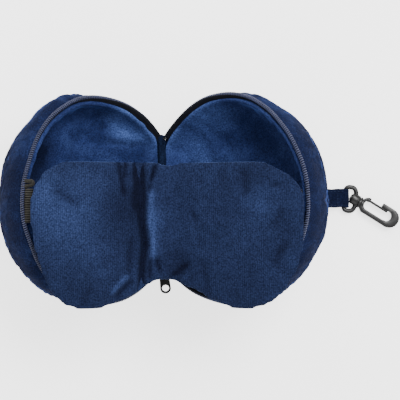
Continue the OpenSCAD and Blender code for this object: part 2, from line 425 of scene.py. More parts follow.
def woven(name, dark, light, pitch, sheen=0.1):
    """Tight woven tape: two crossed sets of threads."""
    s = Shade(name)
    a = s.bands(pitch, "X", 0.5)
    b = s.bands(pitch, "Y", 0.5)
    c = s.bands(pitch, "Z", 0.5)
    weave = s.math("MULTIPLY", s.math("ADD", a, b), s.math("ADD", c, 0.4))
    wear = s.noise(60, 3)
    colour = s.ramp(weave, [(0.2, dark), (1.0, light)])
    colour = s.mix(0.35, colour, s.ramp(wear, [(0.3, dark), (0.7, light)]))
    return s.finish(colour, 0.85, s.bump(weave, 0.18, 0.7), sheen,
                    srgb(110, 120, 150), 0.4, 0.2)


def ribbed(name, dark, light, pitch):
    """Ribbed elastic: raised cords along X, coloured darker in the grooves between
    them.
    """
    s = Shade(name)
    lines = s.bands(pitch, "Y", 0.12)
    yarn = s.bands(0.8, "X", 0.8)
    worn = s.noise(140, 3, 0.6)
    fac = s.math("MULTIPLY", lines, s.math("ADD", s.math("MULTIPLY", yarn, 0.3), 0.8))
    colour = s.ramp(fac, [(0.45, dark), (0.95, light)])
    colour = s.mix(0.3, colour, s.ramp(worn, [(0.35, dark), (0.7, light)]))
    return s.finish(colour, 0.8, s.bump(fac, 0.25, 0.8), 0.05,
                    srgb(120, 118, 105), 0.4, 0.2)


def plastic(name, dark, mid, light, rough, specular=0.5):
    """Moulded plastic or enamel: speckle, flow marks, scuffed edges."""
    s = Shade(name)
    flow = s.noise(70, 4.0, 0.6)
    speck = s.noise(900, 2.0, 0.6)
    scratch = s.noise(260, 3.0, 0.7, s.stretch(1, 6, 1, (0, 0, 0.5)))
    edge = s.node("NewGeometry").outputs["Pointiness"]
    colour = s.ramp(flow, [(0.3, dark), (0.55, mid), (0.75, mid)])
    worn = s.ramp(edge, [(0.54, (0, 0, 0, 1)), (0.66, (1, 1, 1, 1))])
    colour = s.mix(s.math("MULTIPLY", worn, 0.22), colour, light)
    colour = s.mix(0.15, colour, s.ramp(speck, [(0.35, dark), (0.7, light)]))
    scuffs = s.math("MULTIPLY", s.math("SUBTRACT", scratch, 0.5), 0.35)
    gloss = s.math("ADD", rough, scuffs)
    normal = s.bump(speck, 0.05, 0.4)
    normal = s.bump(flow, 0.25, 0.3, normal)
    return s.finish(colour, gloss, normal, 0.0, None, 0.4, specular)


# the patches in these velours are painted light and painted shade, partly pile nap
COVER = velour("cover_velour", srgb(10, 15, 36), srgb(16, 24, 53), srgb(42, 58, 106),
               0.08, (54, 80, 152), cloud=0.36, rim_sheen_start=0.84, painted_light_and_nap_places=(
                   (-124, 10, 60, 50, -0.42), (-112, -46, 60, 44, -0.34),
                   (-98, 66, 66, 44, 0.52), (104, -56, 60, 36, 0.16)))
LINING = velour("lining_velour", srgb(14, 21, 46), srgb(34, 47, 90), srgb(70, 92, 150),
                0.2, (76, 104, 178), cloud=0.3, painted_light_and_nap_places=(
                    (-22, 62, 48, 36, 0.44), (-50, 61, 46, 9, -0.12),
                    (-98, 30, 92, 36, -0.33),
                    (5, 52, 44, 20, 0.22), (36, 66, 56, 32, 0.16),
                    (30, 30, 30, 30, 0.1), (88, 44, 100, 36, 0.04)))
MASK = velour("mask_velour", srgb(11, 15, 34), srgb(26, 34.5, 62), srgb(47, 61, 101),
              0.3, (104, 132, 200), wales=(1.5, "X"), wale_mix=0.4, cloud=0.2,
              folds=0.3, painted_light_and_nap_places=(
                  (-72, -10, 130, 48, 0.12), (-92, 6, 136, 24, 0.06),
                  (-30, -8, 104, 30, -0.2), (-24, -34, 104, 22, -0.08),
                  (10, -52, 102, 22, -0.1), (-8, -14, 104, 12, 0.12),
                  (66, 22, 128, 20, -0.08), (90, -26, 136, 16, -0.08),
                  (60, -66, 120, 26, -0.06), (70, -8, 130, 30, 0.06)))
SPINE = velour("spine_velour", srgb(7, 12, 26), srgb(13, 22, 44), srgb(22, 34, 60),
               0.1, (60, 80, 130))
LOOP = velour("loop_velour", srgb(7, 11, 27), srgb(14, 20, 43), srgb(25, 35, 68),
              0.15, (70, 90, 150))
TAPE = woven("zip_tape_weave", srgb(4, 5, 9), srgb(13, 16, 28), 0.9, 0.0)
RIB = 1.77
ELASTIC = ribbed("elastic_weave", srgb(13, 13, 13), srgb(74, 72, 66), RIB)
ELASTIC_ROLL = woven("elastic_end", srgb(26, 26, 24), srgb(74, 72, 66), 0.9, 0.05)
COIL = plastic("coil_nylon", srgb(30, 34, 56), srgb(46, 51, 80),
               srgb(90, 98, 140), 0.45)
METAL = plastic("slider_enamel", srgb(3, 4, 6), srgb(6, 7, 11),
                srgb(16, 16, 20), 0.5, 0.16)
HOOK = plastic("hook_plastic", srgb(9, 9, 10), srgb(16, 16, 17),
               srgb(52, 52, 54), 0.34, 0.42)
THREAD = woven("sewing_thread", srgb(20, 28, 52), srgb(50, 64, 100), 0.5, 0.1)


# ---- camera, light, floor
CAMERA_HEIGHT, CAMERA_LENS, CAMERA_SHIFT = 1.125, 122.1, 0.0918
FLOOR_SEEN, FLOOR_GLOW, WORLD_LIGHT = 1.6, 0.5, 0.75
FLOOR_HALF, FLOOR_Z = 3, -0.0006


def area_light(name, place, size, power):
    data = bpy.data.lights.new(name, "AREA")
    data.size = size
    data.energy = power
    obj = linked(name, data)
    obj.location = place
    aim = Vector((0, 0, 0.05)) - Vector(place)
    obj.rotation_euler = aim.to_track_quat("-Z", "Y").to_euler()


def make_stage():
    """Camera straight above, pale floor, soft lights."""
    scene = bpy.context.scene
    lens = bpy.data.cameras.new("camera")
    lens.sensor_width = 36
    lens.lens = CAMERA_LENS
    lens.shift_x = CAMERA_SHIFT
    scene.camera = linked("camera", lens)
    scene.camera.location = (metres([0, 0, 0])[0], 0.0, CAMERA_HEIGHT)

    s = Shade("floor_paper")
    grain = s.noise(300, 3)
    paper = s.ramp(grain, [(0.3, (0.93, 0.93, 0.93, 1)), (0.7, (0.97, 0.97, 0.97, 1))])
    s.finish(paper, 0.9, None, specular=0.1)
    s.bsdf.inputs["Emission Color"].default_value = (1, 1, 1, 1)
    # the floor is bright to the eye, but throws little light back
    seen = s.node("LightPath").outputs["Is Camera Ray"]
    s.link(s.math("ADD", s.math("MULTIPLY", seen, FLOOR_SEEN), FLOOR_GLOW),
           s.bsdf.inputs["Emission Strength"])
    corners = [(x * FLOOR_HALF, y * FLOOR_HALF, FLOOR_Z)
               for x, y in ((-1, -1), (1, -1), (1, 1), (-1, 1))]
    new_mesh("floor", corners, [(0, 1, 2, 3)], s.mat, False)

    world = bpy.data.worlds.new("studio")
    world.use_nodes = True
    sky = world.node_tree.nodes["Background"]
    sky.inputs["Color"].default_value = (1, 1, 1, 1)
    sky.inputs["Strength"].default_value = WORLD_LIGHT
    scene.world = world
    area_light("key", (0.5, 0.55, 1.35), 0.7, 25)
    area_light("back", (-0.35, 1.15, 0.85), 0.7, 9)
    area_light("front", (-0.3, -1.0, 1.1), 0.9, 5)


make_stage()


# ---- pillow halves
# Lining profile from its seam at the tape to the middle of the bowl (r, w).
BOWL = np.array([
    (78.2, 5.4), (78.1, 3.4), (77.5, 1.9), (76.3, 1.5), (75.0, 2.5), (74.0, 5.0),
    (72.9, 8.6), (70.8, 13.0), (67.4, 18.0), (61.6, 22.8), (53.2, 27.2),
    (41.0, 30.4), (28.0, 32.0), (14.0, 32.8), (0.0, 33.0)])
RIM_LENGTH = 11.5


def resample(points, count):
    """Points at even steps along a smooth curve through the given ones."""
    pts = np.asarray(points, float)
    fine = []
    ext = np.vstack([2 * pts[0] - pts[1], pts, 2 * pts[-1] - pts[-2]])
    for i in range(1, len(ext) - 2):
        t = np.linspace(0, 1, 24, endpoint=False)[:, None]
        p0, p1, p2, p3 = ext[i - 1:i + 3]
        fine.append(0.5 * (2 * p1 + (p2 - p0) * t
                           + (2 * p0 - 5 * p1 + 4 * p2 - p3) * t ** 2
                           + (3 * p1 - p0 - 3 * p2 + p3) * t ** 3))
    fine = np.vstack(fine + [ext[-2:-1]])
    run = run_of(fine)
    at = np.linspace(0, run[-1], count)
    return np.stack([np.interp(at, run, fine[:, k]) for k in range(fine.shape[1])], -1)


# How far the soft rim has moved outward, by angle round it from its far side
# (positive angles are towards the back), on each half.
RIM_AT = (-180, -150, -122, -98, -75, -55, -35, 0, 26,
          36, 46, 62, 77, 92, 106, 122, 150, 180)
RIM_OUT = {
    1: (0.2, -1.0, -2.0, -2.4, -1.0, 0.0, 0.0, 0.0, 0.0,
        0.0, 0.1, 0.6, 1.6, 2.0, 1.2, -0.7, -0.4, 0.2),
    -1: (0.2, 0.4, 0.3, -0.6, -1.4, -2.4, -3.4, -3.6, -3.5,
         -2.0, -0.9, -0.6, -1.0, -1.6, -2.2, -2.0, -1.0, 0.2)}
# The spine does not run quite square across: shift along X per unit of Y.
LEAN = -0.045
GROOVE = 3.85


def wobble(side, theta):
    """How the soft rim strays from a true circle: outward and downward."""
    p = stacked(np.cos(theta), np.sin(theta)) * BALL
    seed = 11 if side > 0 else 17
    away = np.clip((np.cos(theta) + 0.86) / 0.5, 0, 1)
    turn = np.degrees((theta + math.pi) % (2 * math.pi) - math.pi)
    # a smooth curve through the stated places
    out = sum(np.interp(turn + d, RIM_AT, RIM_OUT[int(side)])
              for d in (-6, -3, 0, 3, 6)) / 5
    return (out + away * (0.25 * waves(p, 75, seed) + 0.1 * waves(p, 30, seed + 1)),
            away * (0.5 * waves(p, 80, seed + 2) + 0.12 * waves(p, 32, seed + 3)))


# How far the soft dome stands out from a ball, by compass angle from its far
# side: it is fullest towards both ends of the spine and flat in between.
SWELL_AT = (0, 12, 25, 38, 48, 58, 66, 74, 84, 100, 180)
SWELL = {
    (1, 1): (0.2, 1.0, 2.6, 4.2, 4.0, 3.4, 4.2, 4.2, 2.4, 1.0, 0.6),
    (1, -1): (0.2, 0.9, 2.0, 3.0, 4.2, 5.0, 4.8, 4.4, 3.0, 1.0, 0.6),
    (-1, 1): (0.3, 1.2, 2.8, 3.0, 4.0, 5.8, 6.6, 5.6, 2.6, 1.0, 0.6),
    (-1, -1): (0.2, 1.4, 2.8, 3.4, 4.4, 4.4, 3.2, 3.0, 2.0, 1.0, 0.6)}


def outer_skin(side, theta, alpha):
    """Dome surface: a ball squashed flat where it rests and at the other half."""
    dr, dw = wobble(side, theta)
    fade = np.exp(-np.degrees(alpha) / 14)
    du = np.cos(alpha) * np.cos(theta)
    dv = np.cos(alpha) * np.sin(theta)
    dd = np.sin(alpha)
    unit = stacked(du, dv, dd)
    seed = 31 if side > 0 else 47
    r = BALL + dr * fade + 0.35 * waves(unit * BALL, 70, seed) \
        + 0.2 * waves(unit * BALL, 28, seed + 1)
    flat_x, flat_y = du * CT + dd * ST, dv
    level = np.hypot(flat_x, flat_y)
    compass = np.degrees(np.arctan2(np.abs(flat_y), flat_x))
    back = np.interp(compass, SWELL_AT, SWELL[(int(side), 1)])
    front = np.interp(compass, SWELL_AT, SWELL[(int(side), -1)])
    mix = np.clip(flat_y * 4 + 0.5, 0, 1)
    swell = front + (back - front) * mix
    start = 1 - np.exp(-(np.degrees(alpha) / 5.0) ** 2)
    r = r + swell * np.clip(level, 0, 1) ** 3 * start
    arc = theta * BALL + 3 * np.sin(theta * 3)
    tucks = waves(stacked(arc, 0 * arc), RIM_LENGTH, seed + 2, 9)
    near = np.exp(-((np.degrees(alpha) - 5) / 11) ** 2)
    r = r + 0.3 * tucks * near + 0.6 * near
    toward = du * CT + dd * ST
    rx = np.where(toward < -0.02, (0.7 - RIM_C * CT) / np.minimum(toward, -0.02), 400)
    down = du * ST - dd * CT
    height = SPINE_Z + RIM_C * ST
    rz = np.where(down < -0.02, (0.2 - height) / np.minimum(down, -0.02), 400)
    # the flat side meets the ball in a soft corner, sharper at the spine's ends
    corner = 3 + 9 * np.clip((44 - BALL * np.abs(dv)) / 12, 0, 1)
    r = smin(smin(r, rx, corner), rz, 5)
    u, v, w = RIM_C + r * du, r * dv, r * dd + dw * fade
    lean = side * LEAN * v
    cu, cw = lean * CT, lean * ST
    reach = np.hypot(u - cu, w - cw)
    groove = (reach < GROOVE) & (np.abs(v) < SPINE_HALF + 2)
    push = np.where(groove, GROOVE / np.maximum(reach, 0.5), 1.0)
    return cu + (u - cu) * push, v, cw + (w - cw) * push


def bowl_skin(side, theta, r0, w0, sink=0.0):
    """Lining surface, cut off straight beside the spine, with soft puffs."""
    dr, dw = wobble(side, theta)
    edge = np.clip(1 - (w0 - 3) / 16, 0, 1)
    cos = np.cos(theta)
    r = r0 + (dr - 0.9 * np.clip(0.42 - 1.15 * cos, 0, 1)) * edge
    w = w0 + dw * edge
    lean = side * LEAN * r * np.sin(theta)
    wall = np.where(cos < -0.05, (RIM_C - 2.6 - 0.3 * np.maximum(w0, 1.5) - lean)
                    / np.maximum(-cos, 0.05), 400)
    r = smin(r, wall, 3.5)
    u, v = RIM_C + r * np.cos(theta), r * np.sin(theta)
    p = stacked(u, v, w)
    seed = 61 if side > 0 else 83
    soft = np.clip((BALL - 4 - r0) / 12, 0, 1)
    lift = soft * (1.0 * waves(p, 52, seed) + 0.45 * waves(p, 23, seed + 1))
    arc = theta * BALL
    tucks = waves(stacked(arc, 0 * arc), RIM_LENGTH * 1.25, seed + 2, 9)
    near = bump(r0 - 72.5, 3.2) + 0.5 * bump(r0 - 66, 6)
    lift = lift + 0.5 * tucks * near
    # dents and folds: place (u, v), direction, half length, width, depth
    for where, uu, vv, turn, half, width, depth in FOLDS:
        if where != side:
            continue
        c, s = math.cos(math.radians(turn)), math.sin(math.radians(turn))
        along = (u - uu) * c + (v - vv) * s
        across = -(u - uu) * s + (v - vv) * c
        lift = lift - depth * bump(across, width) * bump(along, half) * soft
    return u, v, w - lift + sink


# side, u, v, direction, half length, width, depth (negative stands up)
FOLDS = (
    (-1, 24, 44.5, 2, 19, 1.8, 1.5), (-1, 26, 50, 4, 20, 3.6, -1.8),
    (-1, 50, 61, 30, 6, 5, 1.8), (-1, 60, 50, -40, 12, 4, 1.2),
    (-1, 74, 40, 70, 14, 6, -1.0), (-1, 12, 20, 90, 30, 4, -0.9),
    (1, 9, 52, 70, 10, 6, -2.4), (1, 20, 46, 60, 14, 3.4, 1.5),
    (1, 34, 40, 80, 14, 5, -0.8), (1, 56, 62, 10, 18, 4, 1.1),
    (1, 90, 42, -60, 14, 5, 1.2))


def pillow_body(label, side):
    """Padded half ball: the outer cover, its rolled edge and the hidden inside."""
    count = 220
    theta = np.linspace(-math.pi, math.pi, count, endpoint=False)
    rows = []
    above = np.concatenate([np.linspace(88.5, 14, 52), np.linspace(12.6, 2.75, 10)])
    for alpha in np.radians(above):
        rows.append(rim(side, *outer_skin(side, theta, np.full(count, alpha))))
    u0, v0, w0 = outer_skin(side, theta, np.full(count, math.radians(2.75)))
    out = np.hypot(u0 - RIM_C, v0)
    for inset, lift in ((0.45, 0.55), (1.2, 0.75), (2.1, 0.5), (3.0, -0.6),
                        (3.6, -2.6)):
        r = out - inset
        rows.append(rim(side, RIM_C + r * np.cos(theta), r * np.sin(theta), w0 - lift))
    for r0, w_0 in resample(BOWL[5:], 26)[:-1]:
        rows.append(rim(side, *bowl_skin(side, theta, np.full(count, r0 + 2.6),
                                         np.full(count, w_0 + 1.4), 1.6)))
    verts, faces = fanned(np.array(rows))
    verts[:, 2] = np.maximum(verts[:, 2], 0.15)
    lean = LEAN * np.clip(verts[:, 1], -50, 50)
    verts[:, 0] = side * np.maximum(side * (verts[:, 0] - lean), 0.45) + lean
    obj = new_mesh(label + "_half_cover", metres(verts), faces, COVER)
    fix_normals(obj)
    # air and filling push the dome out between its pinned rim, spine and base
    free = np.zeros(len(verts))
    outside = len(above) * count
    free[:outside] = np.clip(np.arange(outside)[::-1] / (14.0 * count), 0, 1)
    free *= (np.clip((side * verts[:, 0] - 12) / 14, 0, 1)
             * np.clip((verts[:, 2] - 4) / 10, 0, 1))
    settle(obj, 2.0, 2.2, 1 - 0.9 * free, -0.025)
    return piece(obj, label + "_half",
                 (label + "_outer_cover", label + "_filling"))


def pillow_lining(label, side):
    """Lining of one bowl: its seen face, and an under face just below it."""
    count = 240
    theta = np.linspace(-math.pi, math.pi, count, endpoint=False)
    profile = resample(BOWL, 70)
    rows = [rim(side, *bowl_skin(side, theta, np.full(count, r0), np.full(count, w0)))
            for r0, w0 in profile[:-1]]
    under = [rim(side, *bowl_skin(side, theta, np.full(count, max(r0 + 0.4, 0.5)),
                                  np.full(count, w0), 1.1))
             for r0, w0 in profile[4:-1][::-1]]
    verts, faces = fanned(np.array(under[::2] + rows))
    obj = new_mesh(label + "_lining_skin", metres(verts), faces, LINING)
    fix_normals(obj, 70)
    return piece(obj, label + "_half", (label + "_lining",))


# Angle on the rim, from its far side, at which the zipper ends near the spine.
ZIP_END = math.radians(140.2)
# Middle of the coil in the rim's own section.
COIL_R, COIL_W = 80.85, 1.45


def ring_point(side, theta, r, w):
    dr, dw = wobble(side, theta)
    r = r + dr
    return rim(side, RIM_C + r * np.cos(theta), r * np.sin(theta), w + dw)


def coil_sink(theta):
    """How far the coil sinks into the tape where the rim faces the spine."""
    return 0.9 * np.clip(0.2 - np.cos(theta), 0, 1)


def pillow_tape(label, side):
    """Zip tape sewn round the rim. It stands up where the rim faces the spine,
    and lies behind the teeth on the far side."""
    theta = np.linspace(-ZIP_END, ZIP_END, 300)
    seed = 5 if side > 0 else 6
    upright = np.clip(0.42 - 1.15 * np.cos(theta), 0, 1)
    uneven = 0.35 * waves(stacked(theta * BALL, 0 * theta), 30, seed, 8)
    wide = (0.0 if side > 0 else 0.5) * upright
    outer = np.array([(80.6, 2.6), (80.5, 1.2), (79.9, 0.8), (79.2, 1.3), (78.7, 2.6),
                      (78.3, 4.6), (78.0, 8.0), (77.4, 8.0), (77.6, 4.8), (78.1, 2.9),
                      (78.7, 2.1), (79.3, 1.9), (79.8, 2.6)])
    upper = np.array([(80.6, 1.8), (80.8, 0.2), (80.2, -0.7), (79.2, -0.6), (77.9, 0.2),
                      (76.8, 1.8), (76.2, 8.0), (75.6, 8.0), (75.9, 2.2), (77.2, 1.0),
                      (78.5, 0.3), (79.4, 0.3), (79.8, 1.6)])
    rows = []
    for k in range(len(outer)):
        r = outer[k, 0] + (upper[k, 0] - outer[k, 0]) * upright
        w = outer[k, 1] + (upper[k, 1] - outer[k, 1]) * upright
        inward = np.clip((80.5 - outer[k, 0]) / 4, 0, 1)
        rows.append(ring_point(side, theta, r - inward * (wide + uneven), w))
    obj = sweep(label + "_tape", np.array(rows).transpose(1, 0, 2), TAPE)
    return piece(obj, label + "_half", (label + "_zip_tape",))


def pillow_coil(label, side):
    """Coil teeth: one monofilament wound in a helix all round the rim."""
    pitch, big_r, wire = 1.7, 1.12, 0.5
    turns = 2 * ZIP_END * 80.9 / pitch
    t = np.linspace(0, 1, int(turns * 12))
    theta = -ZIP_END + 2 * ZIP_END * t
    turn = 2 * math.pi * turns * t * side
    sink = coil_sink(theta)
    r = COIL_R + big_r * np.cos(turn) - 0.5 * sink
    w = COIL_W + sink + 1.25 * np.sin(turn)
    line = ring_point(side, theta, r, w)
    tangent = units(np.gradient(line, axis=0))
    centre = ring_point(side, theta, COIL_R - 0.5 * sink, COIL_W + sink)
    out = units(line - centre)
    cross = np.cross(tangent, out)
    ring = circle(6)
    grid = line[:, None] + wire * (np.cos(ring)[None, :, None] * out[:, None]
                                   + np.sin(ring)[None, :, None] * cross[:, None])
    obj = sweep(label + "_coil_teeth", grid, COIL)
    obj.data.set_sharp_from_angle(angle=math.pi)
    return piece(obj, label + "_half", (label + "_zip_coil",))


def pillow_cord(label, side):
    """Sewn cord inside the coil, twisted along its length."""
    theta = np.linspace(-ZIP_END, ZIP_END, 420)
    sink = coil_sink(theta)
    twist = theta * 81 * 2 * math.pi / 5.0
    rows = []
    for a in circle(12):
        size = 0.78 + 0.1 * np.cos(2 * (a - twist))
        rows.append(ring_point(side, theta, COIL_R - 0.5 * sink + size * math.cos(a),
                               COIL_W + sink + size * math.sin(a)))
    obj = sweep(label + "_coil_cord", np.array(rows).transpose(1, 0, 2), TAPE)
    return piece(obj, label + "_half")


for label, side in SIDES:
    pillow_body(label, side)
    pillow_lining(label, side)
    pillow_tape(label, side)
    pillow_coil(label, side)
    pillow_cord(label, side)


# ---- spine binding
def spine_band():
    """Bound seam between the halves, a soft round band that leans a little."""
    along = np.linspace(-48.2, 52.4, 176)
    around = circle(40)
    a, t = np.meshgrid(along, around, indexing="ij")
    ring = stacked(np.cos(t) * 12, np.sin(t) * 12, a)
    r = 3.55 + 0.22 * waves(ring, 15, 3) + 0.16 * waves(ring * [0.4, 0.4, 1], 5.5, 4)
    # two rows of stitching pull the cloth in along the binding
    for centre in (math.radians(42), math.radians(138)):
        r = r - 0.45 * bump((t - centre) * 3.6, 0.55)
    ends = np.clip((50.3 - np.abs(a - 2.1)) / 2.2, 0, 1)
    r = r * np.sqrt(1 - (1 - ends) ** 2 * 0.75)
    x, z = r * np.cos(t), r * np.sin(t)
    z = np.where(z > 0, z * 0.92, z)
    grid = stacked(x + LEAN * a, a, SPINE_Z + z)
    obj = sweep("spine_band", grid, SPINE)
    return piece(obj, "spine", ("spine_binding",))


spine_band()


def stitches(name, paths, body, length, space, radius, material=THREAD):
    """Rows of raised thread stitches that follow the given lines."""
    verts, faces = [], []
    for path in paths:
        path = np.asarray(path, float)
        run = run_of(path)
        at = 0.6
        while at + length < run[-1]:
            t = np.linspace(at, at + length, 6)
            pts = np.stack([np.interp(t, run, path[:, k]) for k in range(3)], -1)
            d = pts[-1] - pts[0]
            d /= np.linalg.norm(d)
            side = np.cross(d, (0, 0, 1.0))
            side /= max(np.linalg.norm(side), 1e-6)
            up = np.cross(side, d)
            arch = np.sin(np.linspace(0, math.pi, 6))
            base = len(verts)
            for i, p in enumerate(pts):
                rr = radius * (0.45 + 0.55 * arch[i])
                for a in circle(6):
                    verts.append(p + up * (0.18 * arch[i]) + rr * (math.cos(a) * side
                                                                 + math.sin(a) * up))
            faces += [tuple(base + k for k in face) for face in grid_faces(6, 6)]
            faces.append(tuple(base + j for j in range(6))[::-1])
            faces.append(tuple(base + 30 + j for j in range(6)))
            at += length + space
    obj = new_mesh(name, metres(np.array(verts)), faces, material)
    fix_normals(obj)
    return piece(obj, body)


spine_rows = []
for sx in (-1, 1):
    ys = np.linspace(-47, 47, 80)
    spine_rows.append(stacked(sx * 2.45 + LEAN * ys, ys, SPINE_Z + 1.95 + 0 * ys))
stitches("spine_stitches", spine_rows, "spine", 2.2, 1.3, 0.2, SPINE)


# ---- eye mask
MASK_X, MASK_Y, MASK_ROOT = 2.7, -24.7, 8.0
MASK_TILT = math.radians(22)
bridge_lo, bridge_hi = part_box("mask_bridge")
MASK_Z = (bridge_lo.z + bridge_hi.z) * 500
# Flat outline of the mask (q across from its middle, t along Y), in order.
OUTLINE = (
    (0, 50.8), (20, 51.8), (45, 53.2), (66, 53.6), (78, 51.6), (88, 47), (99, 39.8),
    (105.4, 30.5), (107.4, 18.8), (107.4, 5), (105.8, -9), (101.6, -25), (92, -41),
    (81.5, -50), (70, -54), (57, -54.9), (46.4, -53.4), (34.8, -49), (25.3, -43.8),
    (13, -38.2), (4.5, -34.6), (-3, -34), (-9, -35.4), (-15, -38.4), (-27, -46),
    (-39.5, -51), (-50, -54), (-62, -55.4), (-76.5, -53.2), (-86.8, -46),
    (-94.6, -33.6), (-102, -14), (-105, 3), (-106, 20), (-104.6, 31), (-101, 38.6),
    (-94, 46), (-83.5, 51.4), (-71.5, 53.4), (-54, 53.8), (-30, 52.8), (-12, 52))
# Folds on the mask: ends (q, t), width, depth (negative stands up).
MASK_FOLDS = (
    ((-20.3, 60), (-20.7, 22), 3.0, 4.0), ((-20.7, 26), (-18.0, -14), 2.9, 3.8),
    ((-18.0, -8), (-20.6, -48), 3.0, 3.4), ((-13.0, 34), (-12.4, -22), 3.6, -1.9),
    ((-26, 56), (-25, 14), 4.4, 1.7), ((-38.6, 60), (-35.0, 26), 1.8, 1.9),
    ((-31.4, 60), (-34.0, 38), 1.6, 1.7), ((-28.2, 58), (-28.4, 30), 1.7, -1.0),
    ((-7.6, 54), (-12.8, 36), 1.7, 2.4), ((-12.6, 38), (-15.2, 28), 1.6, 2.0),
    ((-13.8, -17), (-12.4, -38), 1.6, 2.0), ((-8.8, -17), (-3.4, -32), 1.6, 1.9),
    ((20, -22), (2, -35), 1.9, 1.5), ((24, -28), (10, -38), 1.8, -0.9),
    ((-30, -30), (-47, -47), 2.2, -1.4), ((-26, -34), (-42, -50), 2.0, 1.5),
    ((-29, -2), (-30.6, -34), 2.4, 1.0), ((19, 20), (25.5, 6), 2.0, 1.1),
    ((80, 36), (92, 37), 1.5, 1.3), ((94, 20), (84, 2), 3.5, 0.9),
    ((96, -4), (84, -26), 3.2, 1.2), ((62, 50), (64, 26), 3.2, 0.9),
    ((-92, 34), (-68, 20), 3.2, 0.8), ((-70, -60), (-62, -36), 2.6, 0.7),
    ((48, 56), (44, 30), 2.6, 0.6), ((34, -50), (28, -18), 2.4, 0.8))


def mask_bend(flat):
    """Flat mask (q, t, h) to its place over the two halves."""
    q, t, h = flat[..., 0], flat[..., 1], flat[..., 2]
    a = np.abs(q)
    soft = 5.0
    past = np.where(a < MASK_ROOT - soft, 0,
                    np.where(a > MASK_ROOT + soft, a - MASK_ROOT,
                             (a - MASK_ROOT + soft) ** 2 / (4 * soft)))
    slope = np.clip((a - MASK_ROOT + soft) / (2 * soft), 0, 1) * MASK_TILT
    x = a - past * (1 - math.cos(MASK_TILT)) - h * np.sin(slope)
    z = past * math.sin(MASK_TILT) + h * np.cos(slope)
    return stacked(MASK_X + np.sign(q) * x, MASK_Y + t, MASK_Z + z)


def mask_flat():
    """Puffed mask lying flat, in metres, about its own middle."""
    ring = resample(np.vstack([OUTLINE, OUTLINE[:1]]), 361)[:-1]
    flow = units(np.roll(ring, -1, 0) - np.roll(ring, 1, 0))
    # smoothing draws the edge in again by about this much, in mm
    ring = ring + 2.8 * left_of(flow)
    bm = bmesh.new()
    low = [bm.verts.new((p[0] / 1000, p[1] / 1000, -0.0022)) for p in ring]
    face = bm.faces.new(low)
    out = bmesh.ops.extrude_face_region(bm, geom=[face])
    top = [v for v in out["geom"] if isinstance(v, bmesh.types.BMVert)]
    bmesh.ops.translate(bm, verts=top, vec=(0, 0, 0.0044))
    bmesh.ops.recalc_face_normals(bm, faces=bm.faces)
    mesh = bpy.data.meshes.new("mask")
    bm.to_mesh(mesh)
    bm.free()
    obj = linked("mask", mesh)
    remesh = obj.modifiers.new("voxels", "REMESH")
    remesh.mode = "VOXEL"
    remesh.voxel_size = 0.0030
    apply_modifiers(obj)
    p = coords(obj) * 1000
    pin = 0.9 * bump(p[:, 0], 5) * (np.abs(p[:, 2]) < 50)
    settle(obj, 3.5, 6.0, pin, 0.0, bend=4.0)
    even = obj.modifiers.new("even", "SMOOTH")
    even.factor = 0.6
    even.iterations = 12
    sub = obj.modifiers.new("sub", "SUBSURF")
    sub.levels = 1
    apply_modifiers(obj)
    return obj


def mask_pieces():
    """Fold the puffed mask, lay it in place and cut it in two at its middle."""
    obj = mask_flat()
    p = coords(obj) * 1000
    top = np.clip(p[:, 2] / 1.5, -1, 1)
    cut = np.zeros(len(p))
    for a, b, width, depth in MASK_FOLDS:
        a, b = np.array(a, float), np.array(b, float)
        d = b - a
        size = np.linalg.norm(d)
        d /= size
        rel = p[:, :2] - a
        along = rel @ d
        across = rel @ np.array([-d[1], d[0]]) + 0.8 * np.sin(along / 9)
        ends = np.clip(along / 5, 0, 1) * np.clip((size - along) / 5, 0, 1)
        cut += depth * bump(across, width) * ends
    p[:, 2] -= 1.1 * np.clip(top, 0, 1) * cut
    p[:, 2] += np.clip(-top, 0, 1) * 0.35 * cut
    # fold values: painted shade in the creases and painted light on the ridges, read
    # only by the mask's material
    fold = obj.data.attributes.new("fold", "FLOAT", "POINT")
    crease_shading = np.clip(top, 0, 1) * np.clip(cut / 2.6, -0.7, 1.0)
    fold.data.foreach_set("value", crease_shading)
    flat2 = p[:, :2]
    p[:, 2] += top * (0.35 * waves(flat2, 30, 201) + 0.14 * waves(flat2, 12, 202))
    set_coords(obj, metres(mask_bend(p)))
    middle = (MASK_X + SPINE_X) / 1000
    for label, side in SIDES:
        half = linked("mask_%s_half" % label, obj.data.copy())
        bm = bmesh.new()
        bm.from_mesh(half.data)
        cutting = bmesh.ops.bisect_plane(
            bm, geom=bm.verts[:] + bm.edges[:] + bm.faces[:], dist=1e-6,
            plane_co=(middle, 0, 0), plane_no=(-side, 0, 0), clear_outer=True)
        cut_edges = [e for e in cutting["geom_cut"]
                     if isinstance(e, bmesh.types.BMEdge)]
        bmesh.ops.holes_fill(bm, edges=cut_edges, sides=0)
        bmesh.ops.recalc_face_normals(bm, faces=bm.faces)
        bm.to_mesh(half.data)
        bm.free()
        half.data.materials.clear()
        half.data.materials.append(MASK)
        half.data.set_sharp_from_angle(angle=math.radians(60))
        names = ["mask_%s_%s" % (label, n) for n in ("front", "pad", "back")]
        if side > 0:
            names.append("mask_bridge")
        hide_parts(*names)
        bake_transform(half)
    bpy.data.objects.remove(obj)


mask_pieces()


# ---- elastic strap
def ribbon(line, normal, across, off, shift):
    """Sections (n, m, 3) of a strap whose line and normals lie in XZ."""
    grid = np.zeros((len(line), len(across), 3))
    grid[:, :, 0] = line[:, None, 0] + normal[:, None, 0] * off
    grid[:, :, 1] = across[None, :] + shift[:, None]
    grid[:, :, 2] = line[:, None, 1] + normal[:, None, 1] * off
    return grid


